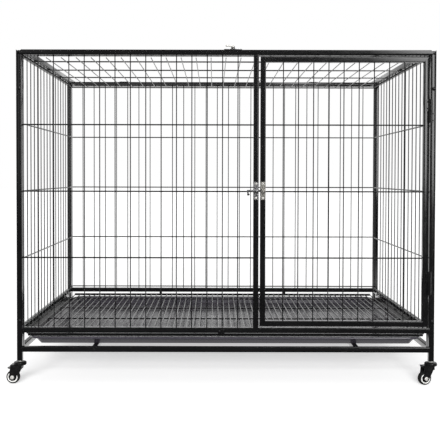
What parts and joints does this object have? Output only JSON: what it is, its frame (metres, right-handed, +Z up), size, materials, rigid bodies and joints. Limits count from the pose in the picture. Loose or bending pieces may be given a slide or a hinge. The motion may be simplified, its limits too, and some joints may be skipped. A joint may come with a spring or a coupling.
{
  "type": "dog crate",
  "caption": "Rectangular wire dog crate on swivel casters, with a hinged front door, a hinged lid, slide latches, a floor grid and a slide-out tray.",
  "frame": {"origin": "on the floor under the middle of the crate", "axes": "+X to the right seen from the front, -Y to the front where the door is, +Z up"},
  "size_m": [1.3168, 0.8414, 1.0128],
  "materials": {
    "frame": "glossy black powder coat",
    "wire": "satin black coating",
    "tray": "glossy",
    "zinc": "zinc plated",
    "caster_metal": "satin black",
    "wheel_core": "smooth",
    "tyre": "matt"
  },
  "bodies": {
    "crate": {"front_frame": "frame", "back_frame": "frame", "left_side_frame": "frame", "right_side_frame": "frame", "front_wire_panel": "wire", "back_wire_panel": "wire", "left_wire_panel": "wire", "right_wire_panel": "wire", "left_cross_tube": "frame", "right_cross_tube": "frame", "left_grid_ledge": "frame", "right_grid_ledge": "frame", "bolt_front_left_lower": "frame", "bolt_front_left_upper": "frame", "bolt_front_right_lower": "frame", "bolt_front_right_upper": "frame", "bolt_back_left_lower": "frame", "bolt_back_left_upper": "frame", "bolt_back_right_lower": "frame", "bolt_back_right_upper": "frame", "door_hinge_lower_post_half": "frame", "door_hinge_upper_post_half": "frame", "lid_hinge_left_frame_half": "frame", "lid_hinge_right_frame_half": "frame", "door_latch_housing": "zinc", "lid_latch_housing": "zinc", "front_left_caster_stem": "zinc", "front_right_caster_stem": "zinc", "rear_left_caster_stem": "zinc", "rear_right_caster_stem": "zinc"},
    "door": {"door_frame": "frame", "door_wire_panel": "wire", "door_hinge_lower_door_half": "frame", "door_hinge_upper_door_half": "frame", "door_latch_keeper": "zinc"},
    "lid": {"lid_frame": "frame", "lid_wire_panel": "wire", "lid_hinge_left_lid_half": "frame", "lid_hinge_right_lid_half": "frame", "lid_latch_keeper": "zinc"},
    "tray": {"tray": "tray"},
    "floor_grid": {"floor_grid": "wire"},
    "grid_lock": {"grid_lock": "frame"},
    "door_bolt": {"door_latch_bolt": "zinc"},
    "lid_bolt": {"lid_latch_bolt": "zinc"},
    "front_left_fork": {"front_left_caster_fork": "caster_metal"},
    "front_left_wheel": {"front_left_wheel_core": "wheel_core", "front_left_wheel_tyre": "tyre"},
    "front_left_pedal": {"front_left_brake_pedal": "caster_metal"},
    "front_right_fork": {"front_right_caster_fork": "caster_metal"},
    "front_right_wheel": {"front_right_wheel_core": "wheel_core", "front_right_wheel_tyre": "tyre"},
    "front_right_pedal": {"front_right_brake_pedal": "caster_metal"},
    "rear_left_fork": {"rear_left_caster_fork": "caster_metal"},
    "rear_left_wheel": {"rear_left_wheel_core": "wheel_core", "rear_left_wheel_tyre": "tyre"},
    "rear_right_fork": {"rear_right_caster_fork": "caster_metal"},
    "rear_right_wheel": {"rear_right_wheel_core": "wheel_core", "rear_right_wheel_tyre": "tyre"}
  },
  "joints": [
    {"name": "door_hinge", "type": "hinge", "parent": "crate", "child": "door", "pos_m": [0.60675, -0.40605, 0.5], "axis": [0, 0, 1], "range_deg": [0, 170]},
    {"name": "lid_hinge", "type": "hinge", "parent": "crate", "child": "lid", "pos_m": [0, 0.40605, 0.99655], "axis": [-1, 0, 0], "range_deg": [0, 170]},
    {"name": "tray_slide", "type": "slide", "parent": "crate", "child": "tray", "axis": [0, -1, 0], "range_m": [0, 0.7]},
    {"name": "floor_grid_slide", "type": "slide", "parent": "crate", "child": "floor_grid", "axis": [0, 1, 0], "range_m": [-0.7, 0]},
    {"name": "grid_lock_turn", "type": "hinge", "parent": "crate", "child": "grid_lock", "pos_m": [-0.019, -0.4003, 0.1595], "axis": [0, 1, 0], "range_deg": [0, 90]},
    {"name": "door_bolt_slide", "type": "slide", "parent": "crate", "child": "door_bolt", "axis": [1, 0, 0], "range_m": [0, 0.012]},
    {"name": "lid_bolt_slide", "type": "slide", "parent": "crate", "child": "lid_bolt", "axis": [0, 1, 0], "range_m": [0, 0.012]},
    {"name": "front_left_swivel", "type": "hinge", "parent": "crate", "child": "front_left_fork", "pos_m": [-0.617, -0.392, 0.06], "axis": [0, 0, 1], "continuous": true},
    {"name": "front_left_spin", "type": "hinge", "parent": "front_left_fork", "child": "front_left_wheel", "pos_m": [-0.63797, -0.3909, 0.0205], "axis": [-0.0523, -0.9986, 0], "continuous": true},
    {"name": "front_left_brake", "type": "hinge", "parent": "front_left_fork", "child": "front_left_pedal", "pos_m": [-0.63048, -0.39129, 0.0465], "axis": [0.0523, 0.9986, 0], "range_deg": [0, 25]},
    {"name": "front_right_swivel", "type": "hinge", "parent": "crate", "child": "front_right_fork", "pos_m": [0.617, -0.392, 0.06], "axis": [0, 0, 1], "continuous": true},
    {"name": "front_right_spin", "type": "hinge", "parent": "front_right_fork", "child": "front_right_wheel", "pos_m": [0.59681, -0.39779, 0.0205], "axis": [0.2756, -0.9613, 0], "continuous": true},
    {"name": "front_right_brake", "type": "hinge", "parent": "front_right_fork", "child": "front_right_pedal", "pos_m": [0.60402, -0.39572, 0.0465], "axis": [0.2756, -0.9613, 0], "range_deg": [0, 25]},
    {"name": "rear_left_swivel", "type": "hinge", "parent": "crate", "child": "rear_left_fork", "pos_m": [-0.617, 0.392, 0.06], "axis": [0, 0, 1], "continuous": true},
    {"name": "rear_left_spin", "type": "hinge", "parent": "rear_left_fork", "child": "rear_left_wheel", "pos_m": [-0.59681, 0.39779, 0.0205], "axis": [-0.2756, 0.9613, 0], "continuous": true},
    {"name": "rear_right_swivel", "type": "hinge", "parent": "crate", "child": "rear_right_fork", "pos_m": [0.617, 0.392, 0.06], "axis": [0, 0, 1], "continuous": true},
    {"name": "rear_right_spin", "type": "hinge", "parent": "rear_right_fork", "child": "rear_right_wheel", "pos_m": [0.63797, 0.3909, 0.0205], "axis": [0.0523, 0.9986, 0], "continuous": true}
  ]
}
